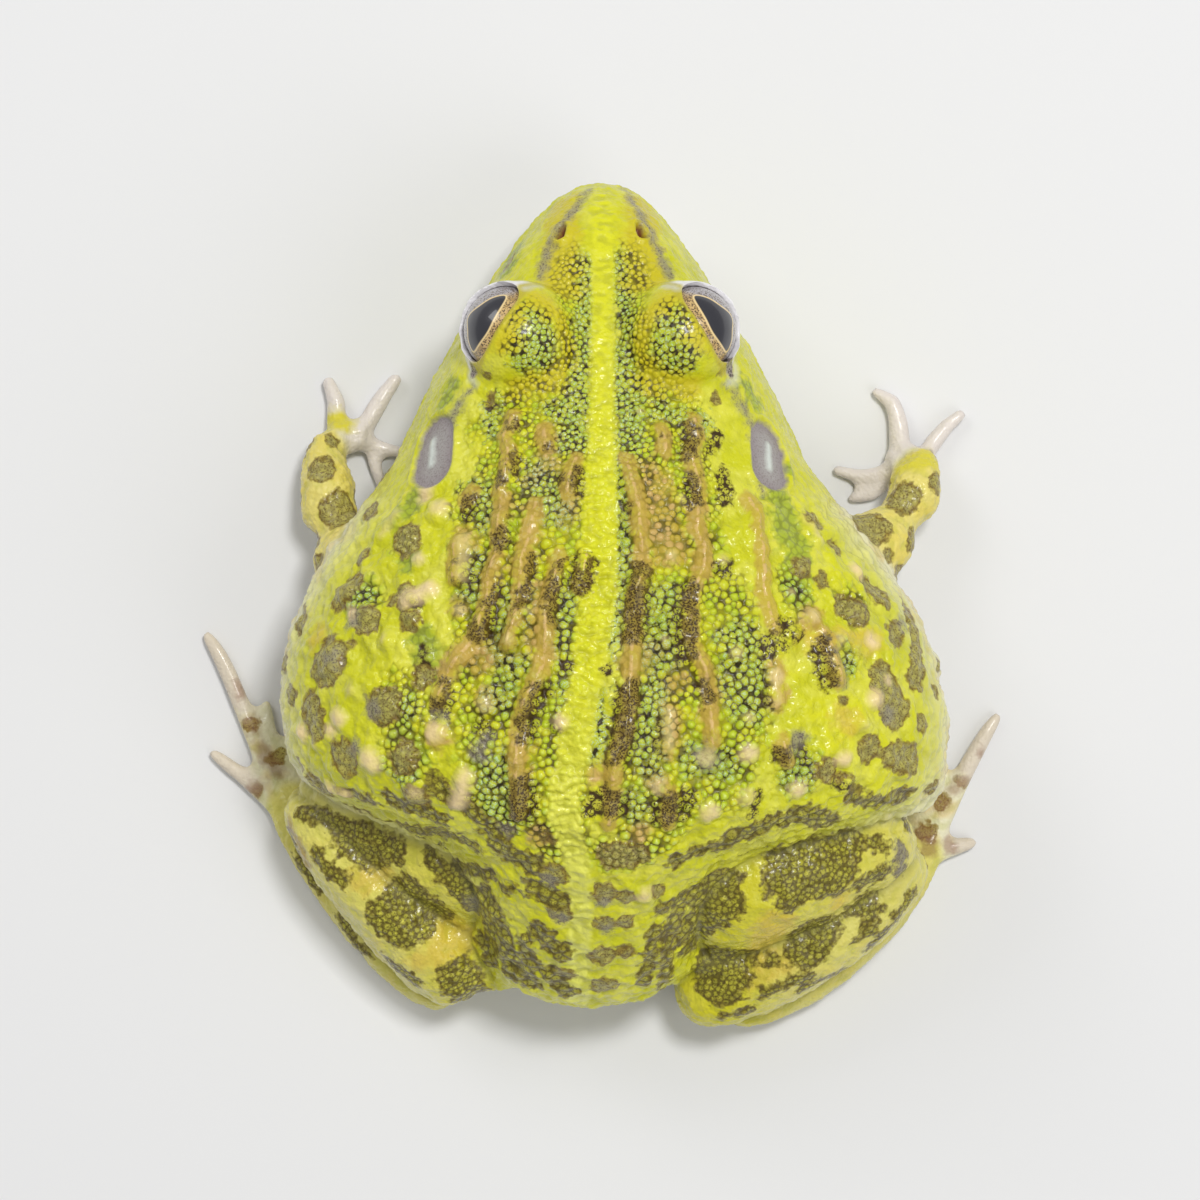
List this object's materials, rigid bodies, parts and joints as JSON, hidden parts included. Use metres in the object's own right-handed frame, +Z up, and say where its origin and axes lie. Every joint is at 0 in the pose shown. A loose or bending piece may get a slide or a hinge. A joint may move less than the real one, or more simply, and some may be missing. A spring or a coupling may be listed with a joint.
{
  "type": "african bullfrog",
  "caption": "Still, life-size young African bullfrog resting on its belly, limbs folded, with raised back folds and warts.",
  "frame": {"origin": "on the floor under the middle of the animal's box", "axes": "+Z up out of the back, the head looks along -Y, the animal's left side is at +X"},
  "size_m": [0.0992, 0.1036, 0.0427],
  "materials": {
    "skin": "moist granular skin, yellow-green with dark brown and green blotches, soft gloss",
    "pale_skin": "thin pinkish beige skin of the hands and toes, moist",
    "eye": "wet clear cornea over a speckled gold iris and dark pupil",
    "eardrum": "thin grey-mauve membrane, slightly glossy"
  },
  "bodies": {
    "root": {"torso": "skin", "head": "skin", "lower_jaw": "skin", "eye_left": "eye", "eye_right": "eye", "eardrum_left": "eardrum", "eardrum_right": "eardrum", "upper_arm_left": "skin", "upper_arm_right": "skin", "forearm_left": "skin", "forearm_right": "skin", "hand_left": "pale_skin", "hand_right": "pale_skin", "finger_1_left": "pale_skin", "finger_2_left": "pale_skin", "finger_3_left": "pale_skin", "finger_4_left": "pale_skin", "finger_1_right": "pale_skin", "finger_2_right": "pale_skin", "finger_3_right": "pale_skin", "finger_4_right": "pale_skin", "thigh_left": "skin", "thigh_right": "skin", "shank_left": "skin", "shank_right": "skin", "foot_left": "skin", "foot_right": "skin", "toe_1_left": "pale_skin", "toe_2_left": "pale_skin", "toe_3_left": "pale_skin", "toe_4_left": "pale_skin", "toe_5_left": "pale_skin", "toe_1_right": "pale_skin", "toe_2_right": "pale_skin", "toe_3_right": "pale_skin", "toe_4_right": "pale_skin", "toe_5_right": "pale_skin"}
  },
  "joints": []
}
